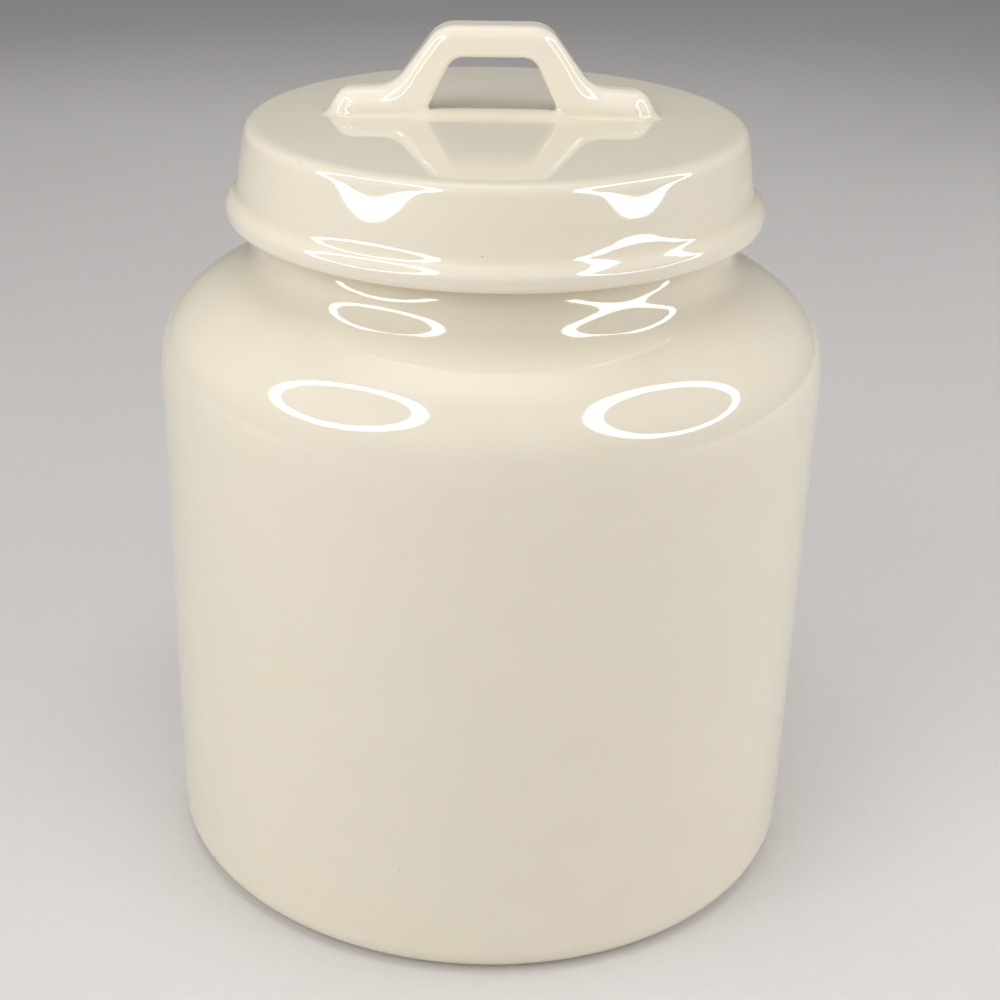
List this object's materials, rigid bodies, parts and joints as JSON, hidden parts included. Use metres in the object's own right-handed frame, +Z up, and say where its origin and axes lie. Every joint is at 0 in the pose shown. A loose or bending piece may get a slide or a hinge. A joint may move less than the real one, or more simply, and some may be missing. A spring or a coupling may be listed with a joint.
{
  "type": "cookie jar",
  "caption": "Straight-sided glazed ceramic cookie jar with a round shoulder, a waisted neck and a lift-off cap lid with a strap handle and a soft seal ring.",
  "frame": {"origin": "on the table under the jar, on the jar's axis, in the plane of the foot ring", "axes": "+Z up along the jar's axis, +X along the handle, -Y towards the viewer of the picture"},
  "size_m": [0.171, 0.171, 0.22],
  "materials": {
    "jar_glaze": "glossy ivory glaze over pale clay, with a bare foot ring",
    "lid_glaze": "glossy ivory glaze over pale clay",
    "handle_glaze": "glossy ivory glaze over pale clay",
    "seal": "translucent white silicone, satin"
  },
  "bodies": {
    "jar": {"jar_body": "jar_glaze"},
    "seal": {"seal_ring": "seal"},
    "lid": {"lid": "lid_glaze", "lid_handle": "handle_glaze"}
  },
  "joints": [
    {"name": "lid_lift", "type": "slide", "parent": "jar", "child": "seal", "axis": [0, 0, 1], "range_m": [0, 0.15]},
    {"name": "lid_turn", "type": "hinge", "parent": "seal", "child": "lid", "pos_m": [0, 0, 0.1666], "axis": [0, 0, 1], "continuous": true}
  ]
}
